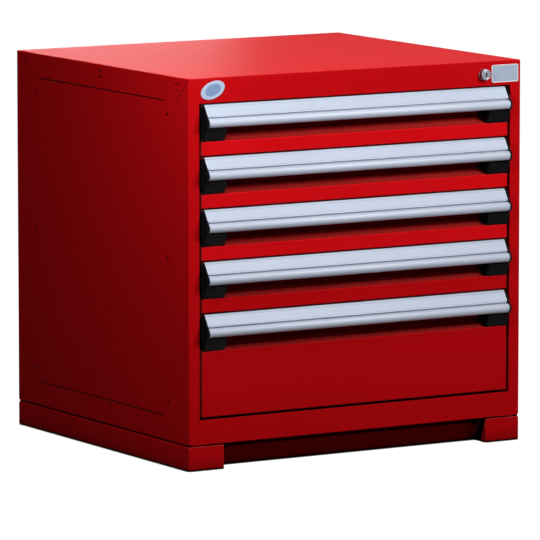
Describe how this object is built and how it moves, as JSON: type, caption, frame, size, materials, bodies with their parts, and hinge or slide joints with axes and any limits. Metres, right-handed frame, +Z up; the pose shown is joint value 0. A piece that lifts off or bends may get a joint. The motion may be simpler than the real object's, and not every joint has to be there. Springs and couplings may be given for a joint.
{
  "type": "drawer cabinet",
  "caption": "Heavy sheet-steel drawer cabinet on a low base, with lockable full-extension drawers, full-width aluminium handles, black end caps and finger recesses.",
  "frame": {"origin": "bottom centre of the whole object's box, on the floor", "axes": "+Z up, +X to the right of a person who faces the drawers, which open towards -Y"},
  "size_m": [0.762, 0.7072, 0.762],
  "materials": {
    "red_powder_coat": "semi-gloss powder coat",
    "aluminium": "satin anodised",
    "black_plastic": "moulded, fine grain",
    "zinc_steel": "zinc plated",
    "lock_chrome": "bright chrome",
    "label_card": "satin card under clear film",
    "badge": "glossy dome",
    "roller_nylon": "smooth nylon"
  },
  "bodies": {
    "cabinet": {"top_panel": "red_powder_coat", "front_frame": "red_powder_coat", "left_side_panel": "red_powder_coat", "right_side_panel": "red_powder_coat", "floor_pan": "red_powder_coat", "back_panel": "red_powder_coat", "corner_posts": "red_powder_coat", "fixed_rails": "zinc_steel", "base_left_skirt": "red_powder_coat", "base_right_skirt": "red_powder_coat", "base_toe_panel": "red_powder_coat", "base_rear_panel": "red_powder_coat", "base_bolts": "zinc_steel", "lock_housing": "lock_chrome", "lock_bar_guides": "zinc_steel", "label_plate": "label_card", "badge_plate": "badge"},
    "drawer_1": {"drawer_1_tray": "red_powder_coat", "drawer_1_front": "red_powder_coat", "drawer_1_handle": "aluminium", "drawer_1_label_strip": "label_card", "drawer_1_end_caps": "black_plastic", "drawer_1_rails": "zinc_steel"},
    "carriage_1": {"carriage_1_rails": "zinc_steel", "carriage_1_rollers": "roller_nylon"},
    "drawer_2": {"drawer_2_tray": "red_powder_coat", "drawer_2_front": "red_powder_coat", "drawer_2_handle": "aluminium", "drawer_2_label_strip": "label_card", "drawer_2_end_caps": "black_plastic", "drawer_2_rails": "zinc_steel"},
    "carriage_2": {"carriage_2_rails": "zinc_steel", "carriage_2_rollers": "roller_nylon"},
    "drawer_3": {"drawer_3_tray": "red_powder_coat", "drawer_3_front": "red_powder_coat", "drawer_3_handle": "aluminium", "drawer_3_label_strip": "label_card", "drawer_3_end_caps": "black_plastic", "drawer_3_rails": "zinc_steel"},
    "carriage_3": {"carriage_3_rails": "zinc_steel", "carriage_3_rollers": "roller_nylon"},
    "drawer_4": {"drawer_4_tray": "red_powder_coat", "drawer_4_front": "red_powder_coat", "drawer_4_handle": "aluminium", "drawer_4_label_strip": "label_card", "drawer_4_end_caps": "black_plastic", "drawer_4_rails": "zinc_steel"},
    "carriage_4": {"carriage_4_rails": "zinc_steel", "carriage_4_rollers": "roller_nylon"},
    "drawer_5": {"drawer_5_tray": "red_powder_coat", "drawer_5_front": "red_powder_coat", "drawer_5_handle": "aluminium", "drawer_5_label_strip": "label_card", "drawer_5_end_caps": "black_plastic", "drawer_5_rails": "zinc_steel"},
    "carriage_5": {"carriage_5_rails": "zinc_steel", "carriage_5_rollers": "roller_nylon"},
    "lock_bar": {"lock_bar": "zinc_steel"},
    "lock_plug": {"lock_plug": "lock_chrome", "lock_cam": "zinc_steel"}
  },
  "joints": [
    {"name": "drawer_1_slide", "type": "slide", "parent": "cabinet", "child": "drawer_1", "axis": [0, -1, 0], "range_m": [0, 0.6]},
    {"name": "carriage_1_slide", "type": "slide", "parent": "cabinet", "child": "carriage_1", "axis": [0, -1, 0], "range_m": [0, 0.3]},
    {"name": "drawer_2_slide", "type": "slide", "parent": "cabinet", "child": "drawer_2", "axis": [0, -1, 0], "range_m": [0, 0.6]},
    {"name": "carriage_2_slide", "type": "slide", "parent": "cabinet", "child": "carriage_2", "axis": [0, -1, 0], "range_m": [0, 0.3]},
    {"name": "drawer_3_slide", "type": "slide", "parent": "cabinet", "child": "drawer_3", "axis": [0, -1, 0], "range_m": [0, 0.6]},
    {"name": "carriage_3_slide", "type": "slide", "parent": "cabinet", "child": "carriage_3", "axis": [0, -1, 0], "range_m": [0, 0.3]},
    {"name": "drawer_4_slide", "type": "slide", "parent": "cabinet", "child": "drawer_4", "axis": [0, -1, 0], "range_m": [0, 0.6]},
    {"name": "carriage_4_slide", "type": "slide", "parent": "cabinet", "child": "carriage_4", "axis": [0, -1, 0], "range_m": [0, 0.3]},
    {"name": "drawer_5_slide", "type": "slide", "parent": "cabinet", "child": "drawer_5", "axis": [0, -1, 0], "range_m": [0, 0.6]},
    {"name": "carriage_5_slide", "type": "slide", "parent": "cabinet", "child": "carriage_5", "axis": [0, -1, 0], "range_m": [0, 0.3]},
    {"name": "lock_bar_lift", "type": "slide", "parent": "cabinet", "child": "lock_bar", "axis": [0, 0, 1], "range_m": [0, 0.0113]},
    {"name": "lock_turn", "type": "hinge", "parent": "cabinet", "child": "lock_plug", "pos_m": [0.294, -0.3322, 0.7365], "axis": [0, -1, 0], "range_deg": [0, 90]}
  ],
  "couplings": [
    {"joint": "carriage_1_slide", "follows": "drawer_1_slide", "ratio": 0.5},
    {"joint": "carriage_2_slide", "follows": "drawer_2_slide", "ratio": 0.5},
    {"joint": "carriage_3_slide", "follows": "drawer_3_slide", "ratio": 0.5},
    {"joint": "carriage_4_slide", "follows": "drawer_4_slide", "ratio": 0.5},
    {"joint": "carriage_5_slide", "follows": "drawer_5_slide", "ratio": 0.5},
    {"joint": "lock_turn", "follows": "lock_bar_lift", "rad_per_m": 138.84}
  ]
}
